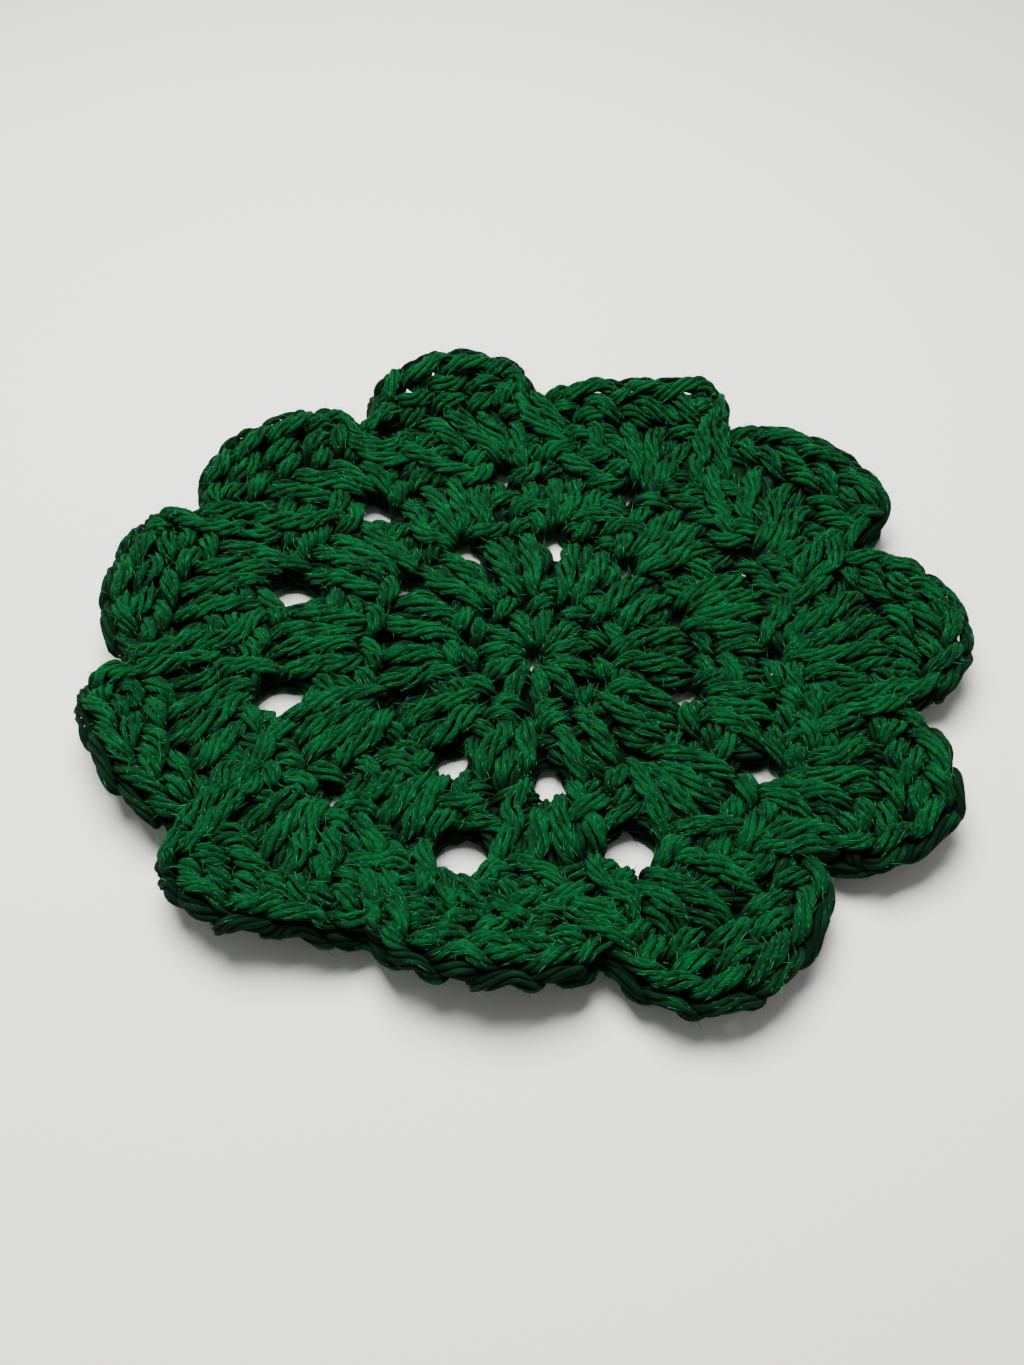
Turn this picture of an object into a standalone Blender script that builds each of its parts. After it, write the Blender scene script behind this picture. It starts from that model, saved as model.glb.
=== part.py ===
"""A crochet coaster: four rounds of cotton yarn that end in eleven petals, as one solid.

The cloth lies on its middle and its petals curl up. Lengths here are millimetres and angles are
degrees counter-clockwise from +X, both about the centre ring. The mesh is scaled to metres, with
+Z up and the origin under the middle of the coaster's box.
"""

import math
import random
from collections import namedtuple

import bpy

MM = 0.001
REPEATS = 11
STEP = 360 / REPEATS
SEED = 4

# The cloth, measured through the thickness.
CORE = 1.5  # from the middle layer to the valleys between stitches
RIB = 1.4  # how far a stitch stands above the valleys
UNDERSIDE = 2.3  # from the middle layer down to the flat back
FLAT_RADIUS = 30.0  # the cloth lies flat this far out
CURL = 1.7  # power of the curl from there to the rim
CENTRE_HOLE = 1.2  # radius of the hole that the first round closes on
EDGE_CORD = 2.5  # width of each of the two yarns along the rim
EDGE_DIMPLE = 0.18  # how far the edge yarns sink between stitches, as a part of their height
ROOT_WIDTH = 0.7  # width of a fan of stitches at its root, as a part of its top
RING_AT = (0.88, -2.29)  # the centre ring in the object's frame

# Each round's stitches in one repeat, where they start and end, and the lean of the fan's top.
Round = namedtuple("Round", "posts root top root_angle lean")
ROUNDS = (
    Round(posts=1, root=CENTRE_HOLE, top=10.6, root_angle=11.0, lean=6.0),
    Round(posts=2, root=11.6, top=20.2, root_angle=30.0, lean=6.5),
    Round(posts=3, root=21.4, top=32.0, root_angle=18.5, lean=4.5),
)
PETAL_POSTS = 5
PETAL_ROOT = 33.4
PETAL_LEAN = 7.0  # a petal's root lies this far clockwise of its middle
STITCH_FULLNESS = (0.75, 1.1)  # no two stitches stand equally high

# How full a stitch is along its length: two leaves with the wrap's groove between them.
Row = namedtuple("Row", "along fullness")
POST_ROWS = (
    Row(along=0.0, fullness=0.1),
    Row(along=0.22, fullness=0.85),
    Row(along=0.46, fullness=0.95),
    Row(along=0.6, fullness=0.5),
    Row(along=0.8, fullness=1.0),
    Row(along=1.0, fullness=0.3),
)
# The two edge yarns: how far in from the rim, in yarn widths, and how high over the middle layer.
CordRow = namedtuple("CordRow", "inward height")
CORDS_START = 2.4  # in yarn widths in from the rim
CORD_ROWS = (
    CordRow(inward=2.0, height=0.75),
    CordRow(inward=1.5, height=1.0),
    CordRow(inward=1.0, height=0.62),
    CordRow(inward=0.45, height=0.9),
    CordRow(inward=0.0, height=0.0),
)
# Across one stitch, from its valley: place and height of the columns of points.
Column = namedtuple("Column", "across height")
COLUMNS = (Column(0.0, 0.0), Column(0.24, 0.8), Column(0.5, 1.0), Column(0.76, 0.8))

# The back's rings: near the rim they follow the outline, and further in they are circles.
BackEdgeRow = namedtuple("BackEdgeRow", "inward count depth")
BACK_EDGE_ROWS = (
    BackEdgeRow(inward=0.55, count=20 * REPEATS, depth=0.8),
    BackEdgeRow(inward=2.4, count=10 * REPEATS, depth=1.0),
)
BackRow = namedtuple("BackRow", "radius count")
BACK_ROWS = (
    BackRow(radius=FLAT_RADIUS + 7, count=8 * REPEATS),
    BackRow(radius=FLAT_RADIUS, count=8 * REPEATS),
    BackRow(radius=15.0, count=4 * REPEATS),
    BackRow(radius=CENTRE_HOLE, count=4 * REPEATS),
)

# One row for each petal, with the notch before it, counter-clockwise.
Petal = namedtuple("Petal", "notch notch_radius notch_lift reach lift peak")
PETALS = (
    Petal(notch=23.5, notch_radius=46.4, notch_lift=2.4, reach=56.4, lift=5.0, peak=0.36),
    Petal(notch=56.5, notch_radius=50.2, notch_lift=3.2, reach=53.4, lift=6.0, peak=0.26),
    Petal(notch=90.0, notch_radius=47.8, notch_lift=3.4, reach=56.0, lift=7.0, peak=0.46),
    Petal(notch=122.0, notch_radius=48.6, notch_lift=3.2, reach=55.6, lift=6.0, peak=0.44),
    Petal(notch=154.5, notch_radius=52.4, notch_lift=2.8, reach=58.0, lift=4.6, peak=0.4),
    Petal(notch=185.0, notch_radius=52.2, notch_lift=2.6, reach=57.5, lift=4.6, peak=0.32),
    Petal(notch=215.0, notch_radius=50.0, notch_lift=2.4, reach=54.5, lift=4.6, peak=0.28),
    Petal(notch=246.5, notch_radius=45.4, notch_lift=2.6, reach=48.6, lift=5.8, peak=0.5),
    Petal(notch=280.5, notch_radius=43.8, notch_lift=2.4, reach=53.9, lift=3.2, peak=0.42),
    Petal(notch=318.0, notch_radius=45.4, notch_lift=2.2, reach=54.8, lift=3.8, peak=0.5),
    Petal(notch=350.5, notch_radius=47.8, notch_lift=2.0, reach=55.6, lift=3.6, peak=0.48),
)
RIM_ROUNDNESS = 0.45  # 1 for a pointed petal, towards 0 for a square one

# The gaps: one between every two fans, about which the next round's fan is worked.
Gap = namedtuple("Gap", "angle radius along across")
PETAL_GAPS = (
    Gap(angle=32.4, radius=34.8, along=4.2, across=4.2),
    Gap(angle=66.1, radius=34.0, along=4.2, across=4.4),
    Gap(angle=98.2, radius=34.2, along=4.3, across=4.6),
    Gap(angle=129.7, radius=34.2, along=4.4, across=4.4),
    Gap(angle=162.5, radius=34.1, along=4.5, across=4.6),
    Gap(angle=191.9, radius=32.6, along=4.6, across=5.6),
    Gap(angle=222.0, radius=32.4, along=4.2, across=4.3),
    Gap(angle=255.1, radius=30.6, along=5.2, across=5.8),
    Gap(angle=292.8, radius=30.6, along=5.0, across=5.2),
    Gap(angle=328.3, radius=31.6, along=4.4, across=4.6),
    Gap(angle=2.0, radius=31.0, along=4.2, across=4.2),
)
# Angle and width of the small gaps, at the root of each fan of the third round.
FAN_GAPS = tuple(
    Gap(angle=angle, radius=20.4, along=size, across=size)
    for angle, size in (
        (20.7, 2.6), (52.3, 2.8), (83.5, 3.0), (115.4, 2.8), (144.9, 3.0), (174.9, 2.4),
        (203.3, 2.4), (239.1, 3.2), (275.3, 3.4), (310.3, 2.8), (344.7, 3.0),
    )
)
GAP_SIDES = 10
CUTTER_HEIGHTS = (-5.0, 20.0)  # past both faces of the cloth
ROUNDING = 1e-6  # keeps an angle on the first notch from counting as 360


def wrap(angle):
    """The angle counted from the first notch, from 0 up to 360."""
    return (angle - PETALS[0].notch + ROUNDING) % 360


def mix(first, last, share):
    return first + (last - first) * share


def petal_at(angle):
    """(petal, next petal, share of the way from this petal's notch to the next one)."""
    turned = wrap(angle)
    for petal, following in zip(PETALS, PETALS[1:] + PETALS[:1]):
        start = wrap(petal.notch)
        width = (following.notch - petal.notch) % 360
        if start <= turned < start + width:
            return petal, following, (turned - start) / width
    return PETALS[-1], PETALS[0], 1.0


def outline(angle):
    """How far the rim is from the centre ring."""
    petal, following, share = petal_at(angle)
    notch = mix(petal.notch_radius, following.notch_radius, share)
    skewed = share ** (math.log(0.5) / math.log(petal.peak))
    return notch + (petal.reach - notch) * math.sin(math.pi * skewed) ** RIM_ROUNDNESS


def middle_layer(angle, radius):
    """Height of the cloth's middle layer, which lies flat and curls up to the rim."""
    petal, following, share = petal_at(angle)
    notch = mix(petal.notch_lift, following.notch_lift, share)
    lift = notch + (petal.lift - notch) * math.sin(math.pi * share)
    out = (radius - FLAT_RADIUS) / (outline(angle) - FLAT_RADIUS)
    return UNDERSIDE + lift * min(max(out, 0.0), 1.0) ** CURL


def fan(posts):
    """The columns of points across one fan: (post, column, share of the fan's width)."""
    for post in range(posts):
        for column in COLUMNS:
            yield post, column, (post + column.across) / posts


def fan_angle(centre, width, share, along):
    """Angle of a column of points, in a fan that spreads from its root to its top."""
    spread = mix(ROOT_WIDTH, 1.0, math.sqrt(along))
    return centre + width * spread * (share - 0.5)


def stitch_point(angle, radius, row, column, fullness):
    rise = RIB * row.fullness * column.height * fullness
    return angle, radius, middle_layer(angle, radius) + CORE + rise


def round_rings(part, uneven):
    """The rings of points of one round. Each ring is a list of points, in order of angle."""
    rings = [[] for _ in POST_ROWS]
    for repeat in range(REPEATS):
        root = part.root_angle + repeat * STEP
        fullness = [uneven.uniform(*STITCH_FULLNESS) for _ in range(part.posts)]
        for post, column, share in fan(part.posts):
            for ring, row in zip(rings, POST_ROWS):
                angle = fan_angle(root + part.lean * row.along, STEP, share, row.along)
                radius = mix(part.root, part.top, row.along)
                ring.append(stitch_point(angle, radius, row, column, fullness[post]))
    return rings


def petal_rings(uneven):
    """The rings of points of the petals: their stitches, and then the yarns along the rim."""
    stitch_rings = [[] for _ in POST_ROWS]
    cord_rings = [[] for _ in CORD_ROWS]
    for petal, following in zip(PETALS, PETALS[1:] + PETALS[:1]):
        width = (following.notch - petal.notch) % 360
        middle = petal.notch + width / 2
        fullness = [uneven.uniform(*STITCH_FULLNESS) for _ in range(PETAL_POSTS)]
        for post, column, share in fan(PETAL_POSTS):
            top_angle = petal.notch + width * share
            edge = outline(top_angle)
            for ring, row in zip(stitch_rings, POST_ROWS):
                centre = middle - PETAL_LEAN * (1 - row.along)
                angle = fan_angle(centre, width, share, row.along)
                radius = mix(PETAL_ROOT, edge - EDGE_CORD * CORDS_START, row.along)
                ring.append(stitch_point(angle, radius, row, column, fullness[post]))
            for ring, row in zip(cord_rings, CORD_ROWS):
                radius = edge - EDGE_CORD * row.inward
                rise = (CORE + RIB) * row.height * (1 - EDGE_DIMPLE * (1 - column.height))
                ring.append((top_angle, radius, middle_layer(top_angle, radius) + rise))
    return stitch_rings + cord_rings


def underside_rings():
    """The rings of the back, from the rim to the centre. The back is flat where it lies."""
    rings = []
    for row in BACK_EDGE_ROWS:
        ring = []
        for point in range(row.count):
            angle = PETALS[0].notch + 360 * point / row.count
            radius = outline(angle) - EDGE_CORD * row.inward
            ring.append((angle, radius, middle_layer(angle, radius) - UNDERSIDE * row.depth))
        rings.append(ring)
    for row in BACK_ROWS:
        ring = []
        for point in range(row.count):
            angle = ROUNDS[0].root_angle + 360 * point / row.count
            ring.append((angle, row.radius, middle_layer(angle, row.radius) - UNDERSIDE))
        rings.append(ring)
    return rings


def from_first_notch(ring):
    """The ring turned so that its first point is the first one past the first notch."""
    start = min(range(len(ring)), key=lambda index: wrap(ring[index][0]))
    return ring[start:] + ring[:start]


def join_rings(inner, outer, inner_at, outer_at):
    """Triangles between two rings, walked round together. The lists hold angles and point numbers."""
    faces = []
    i = j = 0
    while i < len(inner) or j < len(outer):
        a, b = inner_at[i % len(inner)], outer_at[j % len(outer)]
        next_inner = inner[i + 1] if i + 1 < len(inner) else inner[0] + 360
        next_outer = outer[j + 1] if j + 1 < len(outer) else outer[0] + 360
        step_inner = j >= len(outer) or (i < len(inner) and next_inner <= next_outer)
        if step_inner:
            faces.append((a, b, inner_at[(i + 1) % len(inner)]))
            i += 1
        else:
            faces.append((a, b, outer_at[(j + 1) % len(outer)]))
            j += 1
    return faces


def cloth_mesh():
    """The cloth as one closed mesh: rings from the centre out over the front and back underneath."""
    uneven = random.Random(SEED)
    rings = []
    for part in ROUNDS:
        rings += round_rings(part, uneven)
    rings += petal_rings(uneven)
    rings += underside_rings()
    rings = [from_first_notch(ring) for ring in rings]
    points = []
    numbers = []
    for ring in rings:
        numbers.append(list(range(len(points), len(points) + len(ring))))
        for angle, radius, height in ring:
            turn = math.radians(angle)
            x = RING_AT[0] + radius * math.cos(turn)
            y = RING_AT[1] + radius * math.sin(turn)
            points.append((x * MM, y * MM, height * MM))
    faces = []
    angles = [[wrap(angle) for angle, _, _ in ring] for ring in rings]
    for level in range(len(rings)):
        after = (level + 1) % len(rings)
        faces += join_rings(angles[level], angles[after], numbers[level], numbers[after])
    mesh = bpy.data.meshes.new("coaster")
    mesh.from_pydata(points, [], faces)
    mesh.validate()
    return mesh


def gap_cutter():
    """Upright oval pins through every gap, in one mesh."""
    points = []
    faces = []
    for gap in PETAL_GAPS + FAN_GAPS:
        turn = math.radians(gap.angle)
        first = len(points)
        for height in CUTTER_HEIGHTS:
            for side in range(GAP_SIDES):
                round_the_gap = 2 * math.pi * side / GAP_SIDES
                out = gap.radius + gap.along / 2 * math.cos(round_the_gap)
                sideways = gap.across / 2 * math.sin(round_the_gap)
                x = RING_AT[0] + out * math.cos(turn) - sideways * math.sin(turn)
                y = RING_AT[1] + out * math.sin(turn) + sideways * math.cos(turn)
                points.append((x * MM, y * MM, height * MM))
        low = [first + side for side in range(GAP_SIDES)]
        high = [number + GAP_SIDES for number in low]
        faces.append(low[::-1])
        faces.append(high)
        for side in range(GAP_SIDES):
            following = (side + 1) % GAP_SIDES
            faces.append((low[side], low[following], high[following], high[side]))
    mesh = bpy.data.meshes.new("gap_cutter")
    mesh.from_pydata(points, [], faces)
    return mesh


def cotton_yarn():
    """Matte, soft cotton in bottle green."""
    material = bpy.data.materials.new("cotton_yarn")
    material.use_nodes = True
    shader = material.node_tree.nodes["Principled BSDF"]
    shader.inputs["Base Color"].default_value = (0.006, 0.085, 0.024, 1.0)
    shader.inputs["Roughness"].default_value = 0.92
    shader.inputs["Metallic"].default_value = 0.0
    shader.inputs["Sheen Weight"].default_value = 0.3
    return material


def main():
    for old in list(bpy.data.objects):
        bpy.data.objects.remove(old)
    coaster = bpy.data.objects.new("coaster", cloth_mesh())
    coaster.data.materials.append(cotton_yarn())
    cutter = bpy.data.objects.new("gap_cutter", gap_cutter())
    for made in (coaster, cutter):
        bpy.context.scene.collection.objects.link(made)
    cutter.hide_render = True
    cutter.display_type = "WIRE"
    cut = coaster.modifiers.new("gaps", "BOOLEAN")
    cut.object = cutter
    cut.operation = "DIFFERENCE"
    cut.solver = "EXACT"
    coaster.data.shade_smooth()


main()
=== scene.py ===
"""The looks of a crochet coaster: four rounds of soft cotton yarn that end in eleven petals.

The yarn is laid out on the flat, stitch by stitch, as it is worked. It is drawn tight, split into
its plies, and the cloth is then bent up to its petals, as the real one curls. Lengths are
millimetres and angles are degrees counter-clockwise from +X, both about the centre ring, until a
mesh is written in metres.
"""

import itertools
import math
from collections import namedtuple

import bpy
import numpy as np
from mathutils import Matrix, Vector


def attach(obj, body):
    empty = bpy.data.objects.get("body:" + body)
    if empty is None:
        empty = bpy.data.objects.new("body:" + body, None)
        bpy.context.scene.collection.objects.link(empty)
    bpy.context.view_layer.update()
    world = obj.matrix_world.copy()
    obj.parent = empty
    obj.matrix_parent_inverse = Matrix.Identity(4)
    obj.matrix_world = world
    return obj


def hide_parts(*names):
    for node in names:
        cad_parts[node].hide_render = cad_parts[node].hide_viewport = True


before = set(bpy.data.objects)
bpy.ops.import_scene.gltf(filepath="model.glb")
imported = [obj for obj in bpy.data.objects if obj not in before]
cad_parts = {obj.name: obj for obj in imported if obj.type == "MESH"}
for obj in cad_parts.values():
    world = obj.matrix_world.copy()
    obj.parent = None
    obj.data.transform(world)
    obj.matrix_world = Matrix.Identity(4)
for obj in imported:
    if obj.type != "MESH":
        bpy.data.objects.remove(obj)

MM = 0.001
REPEATS = 11
STEP = 360 / REPEATS
SEED = 7

# The cloth, as in the solid.
RING_AT = np.array([0.88, -2.29])  # the centre ring in the object's frame
UNDERSIDE = 2.3  # from the middle layer down to the flat back
FACE = 3.3  # from the middle layer up to the tops of the fullest stitches
FLAT_RADIUS = 30.0  # the cloth lies flat this far out
CURL = 1.7  # power of the curl from there to the rim
CURL_END = 1.15  # and goes on past it, as a share of the way there
LIFT_ROUNDNESS = 0.6  # 1 for a petal that rises evenly from its notches, less for a steeper one
RIM_PARTS = 81  # points along a line inside a petal's rim

# One row for each petal, with the notch before it, counter-clockwise. The rim's radii are read at
# these shares of the way from notch to notch, between the radii of the notches themselves.
RIM_SHARES = (0.0, 0.1, 0.3, 0.5, 0.7, 0.9, 1.0)
Petal = namedtuple("Petal", "notch notch_radius notch_lift lift rim")
PETALS = (
    Petal(notch=23.5, notch_radius=46.8, notch_lift=2.4, lift=5.0, rim=(56.6, 57.8, 57.4, 55.6, 53.4)),
    Petal(notch=56.5, notch_radius=50.2, notch_lift=3.2, lift=6.0, rim=(57.0, 55.4, 52.4, 50.5, 49.8)),
    Petal(notch=90.0, notch_radius=47.8, notch_lift=3.4, lift=7.0, rim=(54.2, 55.8, 56.2, 55.4, 52.8)),
    Petal(notch=122.0, notch_radius=46.8, notch_lift=3.2, lift=6.0, rim=(53.0, 54.4, 56.0, 56.2, 54.8)),
    Petal(notch=154.5, notch_radius=51.4, notch_lift=2.8, lift=4.6, rim=(57.2, 58.1, 57.8, 57.2, 55.0)),
    Petal(notch=185.0, notch_radius=51.8, notch_lift=2.6, lift=4.6, rim=(57.2, 57.9, 56.4, 55.4, 52.5)),
    Petal(notch=215.0, notch_radius=50.0, notch_lift=2.4, lift=4.6, rim=(54.8, 55.4, 54.0, 49.8, 47.6)),
    Petal(notch=246.5, notch_radius=45.0, notch_lift=2.6, lift=5.8, rim=(47.4, 48.2, 48.0, 47.9, 46.2)),
    Petal(notch=280.5, notch_radius=43.4, notch_lift=2.4, lift=3.2, rim=(50.4, 53.8, 54.1, 52.2, 49.0)),
    Petal(notch=318.0, notch_radius=45.0, notch_lift=2.2, lift=3.8, rim=(50.8, 54.4, 56.2, 54.2, 51.2)),
    Petal(notch=350.5, notch_radius=47.6, notch_lift=2.0, lift=3.6, rim=(52.8, 56.6, 57.4, 56.0, 53.0)),
)

# The gaps between the fans, about which the next round is worked.
Gap = namedtuple("Gap", "angle radius along across")
PETAL_GAPS = (
    Gap(angle=32.4, radius=34.8, along=2.2, across=3.0),
    Gap(angle=66.1, radius=34.0, along=2.0, across=2.6),
    Gap(angle=98.2, radius=34.2, along=2.4, across=3.4),
    Gap(angle=131.3, radius=34.8, along=4.8, across=3.8),
    Gap(angle=163.0, radius=34.5, along=5.4, across=5.6),
    Gap(angle=193.0, radius=33.1, along=6.2, across=6.0),
    Gap(angle=222.5, radius=32.4, along=2.2, across=3.0),
    Gap(angle=254.3, radius=30.9, along=6.4, across=6.6),
    Gap(angle=292.5, radius=30.2, along=5.8, across=6.0),
    Gap(angle=329.0, radius=32.6, along=4.1, across=3.9),
    Gap(angle=2.0, radius=31.0, along=2.0, across=2.6),
)
# The small gaps at the roots of the fans.
FAN_GAPS = tuple(
    Gap(angle=angle, radius=radius, along=size, across=size)
    for angle, radius, size in (
        (20.7, 20.4, 2.0), (52.3, 20.6, 2.5), (82.8, 21.2, 3.8), (117.2, 20.9, 3.6), (145.2, 21.2, 2.8),
        (174.9, 20.4, 2.2), (203.3, 20.2, 1.8), (238.6, 19.3, 4.1), (276.0, 19.1, 4.0), (310.3, 20.4, 1.1),
        (344.7, 20.4, 3.0),
    )
)
# Slots inside the rim of one petal at the back, where its cords stand off the stitches.
RIM_GAPS = (
    Gap(angle=105.7, radius=53.4, along=0.7, across=1.3),
    Gap(angle=112.7, radius=50.6, along=2.0, across=1.5),
    Gap(angle=120.4, radius=45.0, along=3.4, across=2.2),
)
# Between the stitches of the first round.
RING_GAPS = tuple(
    Gap(angle=31.7 + STEP * repeat, radius=9.6, along=1.2, across=0.9) for repeat in range(REPEATS)
)
CENTRE = Gap(angle=0.0, radius=0.0, along=2.2, across=2.2)
OPENINGS = PETAL_GAPS + FAN_GAPS + RIM_GAPS + (CENTRE,)
NEAR_GAP = 4  # square millimetres past a gap's own size, within which the yarn may lie in it
LEAST_OUT = 0.05  # share of a gap's radius that a point at its very middle is taken to be out

# The yarn.
YARN_SPACING = 0.5  # between the points of the yarn's line
YARN_WIDTH = 2.45  # two yarns drawn tight lie this near, side by side
YARN_HEIGHT = 1.55  # and one on the other
PLIES = 5
PLY_GIRTH = 0.82  # two plies lie this near
PLY_RADIUS = 0.41
PLY_RING = 0.68  # radius of the ring that the plies make
SPREAD = 1.45  # how far the ring is pressed out sideways where the yarn lies full
PRESSED = 0.65  # and how flat
UNPRESSED = 0.9  # the ring where the yarn is drawn thin
PRESSED_FROM = 0.6  # the yarn is pressed where it lies fuller than this
PRESSED_WITHIN = 0.5  # and as much as it gets where it lies fuller by this
TWIST_PITCH = 14.0  # one turn of the plies about each other, to the left
WANDER = 0.12  # how far a ply strays from its place in the yarn
WANDER_LENGTH = 3.5
SLUB = 0.14  # how unevenly thick a ply is
SLUB_LENGTH = 1.8
UNEVEN = 0.15  # how far a point of a stitch strays
PLY_SIDES = 5
PLY_STEP = 1.8  # the longest side of a ply's tube
PLY_TURN = 32.0  # degrees, the most that a ply bends at one ring of its tube
PLY_SHIFT = 41.0  # between one ply's fibres and the next one's, so that no two look alike
ANY_SIDE = (0.3, 0.2, 1.0)  # where a ply's first ring starts: no ply runs that way

# How the yarn is drawn tight, and then its plies.
YARN_TURNS = 60
YARN_SKIP = 6  # points this near along one strand don't push each other
PLY_TURNS = 24
PLY_SKIP = 4
SEARCH_EVERY = 6  # turns
SEARCH_REACH = 1.4  # widths of the yarn
CROWDING = 0.6  # how much less each of many pushes counts
HOLD = 0.02  # share of the way home in a turn
SMOOTH = 0.12  # share of the way to the middle of its neighbours
SHORTEN = 0.4  # share of its stretch that the yarn loses in a turn

# What of it is buried, and is left out.
SIGHT_CELL = 0.35  # of the grid in plan on which the topmost strands are found
SIGHT_MARGIN = 3  # cells round the cloth
BURIED = 0.6  # under the strands that cover it
CREST_REACH = 4  # cells to the crests that a strand's depth is measured from
RIM_SIDE = 2.6  # nothing is buried this near to the rim
GAP_SIDE = 1.3  # or this near to a gap, where it shows from the side
SHOWN_PAST = 2  # points that a ply goes on, past what shows of it

# The loose fibres.
FIBRES = 49000
FIBRE_RADIUS = 0.04
FIBRE_LENGTH = 0.75  # as a mean, past the shortest
FIBRE_SHORTEST = 0.3
FIBRE_LONGEST = 2.2
FIBRE_DEPTH = 1.1  # the deepest that a ply with fibres lies
FIBRE_FOOT = 0.9  # where a fibre starts, as a share of its ply's radius
FIBRE_DOWN = -0.2  # a fibre that points further into the cloth is turned to point out
FLOOR_CLEARANCE = 0.05
LYING = 0.7  # share of the fibres that lie along their ply
LYING_LEAN = (4, 20)  # degrees off the ply
STANDING_LEAN = (20, 75)

# The sheet in the middle of the cloth, of square cells that are trimmed along its edges.
SHEET_CELL = 0.95
SHEET_CELLS = 64  # from the centre ring each way
SHEET_INWARD = 2.0  # from the rim to the sheet
SHEET_MARGIN = 0.8  # and from a gap
SHEET_HALF = 0.35  # half its thickness
SHEET_LEVEL = -0.5  # under the middle layer
TRIM_REACH = 0.45  # how far points are moved onto an edge, in cells
SLANT_TURNS = 4  # until no two cells meet at a corner alone


def table(kind, *rows):
    """A table's rows, each with its columns by name."""
    return tuple(kind(*row) for row in rows)


# One stitch, as the yarn runs: sideways along the work, share of the post's height from its root to
# its top, rise over the middle of the cloth, how full the yarn is, and millimetres past that share.
Step = namedtuple("Step", "side share rise swell past", defaults=(0.0,))
# Down from the top at the back, and across the front of the post.
ACROSS = table(
    Step,
    (-1.9, 0.90, -1.4, 0.9),
    (-3.5, 0.73, -0.6, 0.65),
    (-2.9, 0.705, 0.9, 0.85),
    (-1.4, 0.665, 1.7, 1.0),
    (0.4, 0.62, 1.9, 1.1),
    (2.2, 0.575, 1.6, 1.0),
    (3.7, 0.54, 0.6, 0.8),
    (4.3, 0.525, -0.7, 0.6),
)
# Down the back to the root, and up the front in a long strand.
LEG = table(
    Step,
    (2.4, 0.40, -1.5, 0.9),
    (0.9, 0.12, -1.6, 0.8, 0.6),
    (0.4, 0.0, -0.9, 0.65, -0.4),
    (0.3, 0.0, 1.0, 0.7, -0.3),
    (0.3, 0.0, 2.0, 0.9, 1.4),
    (0.2, 0.20, 2.0, 1.15),
    (0.2, 0.34, 1.9, 1.1),
    (0.2, 0.47, 1.4, 0.85),
    (0.2, 0.55, 0.1, 0.6),
)
# The same for a stitch of the first round, that is drawn thin where it goes into the centre ring.
RING_LEG = table(
    Step,
    (2.4, 0.40, -1.5, 0.8),
    (0.5, 0.10, -1.7, 0.6, 0.3),
    (0.1, 0.0, -1.2, 0.42, -0.2),
    (0.1, 0.0, 0.8, 0.42, -0.3),
    (0.1, 0.0, 2.0, 0.5, 0.4),
    (0.1, 0.12, 2.1, 0.75),
    (0.2, 0.25, 2.1, 1.05),
    (0.2, 0.40, 1.8, 1.05),
    (0.2, 0.50, 1.2, 0.8),
    (0.2, 0.56, 0.0, 0.6),
)
# Beside that, lower and shorter, and up the back.
SECOND_LEG = table(
    Step,
    (-1.2, 0.58, -0.5, 0.6),
    (-2.2, 0.49, 0.9, 0.85),
    (-2.7, 0.36, 1.3, 1.0),
    (-2.6, 0.22, 1.0, 0.9),
    (-1.8, 0.12, -0.2, 0.6),
    (-1.4, 0.16, -1.4, 0.7),
    (-0.8, 0.38, -1.6, 0.8),
)
# Behind that, and across the front again, under the edge.
HEAD = table(
    Step,
    (1.4, 0.58, -1.3, 0.8),
    (3.7, 0.71, -0.5, 0.65),
    (3.2, 0.74, 0.9, 0.8),
    (1.8, 0.78, 1.7, 1.0),
    (0.0, 0.83, 2.0, 1.1),
    (-1.8, 0.88, 1.7, 1.0),
    (-3.0, 0.92, 0.9, 0.8),
    (-3.5, 0.95, -0.5, 0.6),
    (-1.4, 0.98, -1.2, 0.75),
)
# Up between two petals, over the cords of their rims, and back.
JOINING = table(
    Step,
    (-1.2, 0.70, -1.6, 0.9),
    (0.3, 0.0, -1.9, 0.8, 1.0),
    (0.5, 0.0, -0.6, 0.65, -0.8),
    (0.8, 0.10, 1.3, 0.85),
    (1.0, 0.70, 2.4, 1.05),
    (0.9, 1.30, 2.4, 1.0),
    (0.3, 1.70, 0.9, 0.7),
    (-0.6, 1.60, 0.9, 0.7),
    (-1.1, 1.10, 2.2, 0.9),
    (-1.1, 0.50, 2.0, 0.9),
    (-0.6, 0.0, 0.4, 0.65),
    (-0.3, 0.20, -1.7, 0.8),
    (0.1, 0.85, -1.5, 0.9),
)
# The loop that a stitch leaves along its round's edge: share of the way to the next stitch, and
# millimetres beyond that, out from the edge, and up, and how full the yarn is.
Link = namedtuple("Link", "share along out rise swell")
ROUND_LINK = table(
    Link,
    (0.0, -0.8, 0.5, -0.5, 0.65),
    (0.0, 0.4, 0.5, 1.2, 0.85),
    (0.5, 0.1, 0.4, 1.7, 1.0),
    (1.0, 0.0, 0.2, 1.2, 0.85),
    (1.0, 0.9, 0.4, -0.5, 0.65),
    (1.0, 0.7, 1.3, -1.3, 0.65),
    (1.0, -0.2, 2.1, -0.2, 0.8),
    (0.5, 0.1, 2.2, 0.3, 0.95),
    (0.0, 0.2, 2.0, -0.2, 0.8),
    (0.0, -0.6, 1.0, -1.5, 0.65),
)
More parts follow.
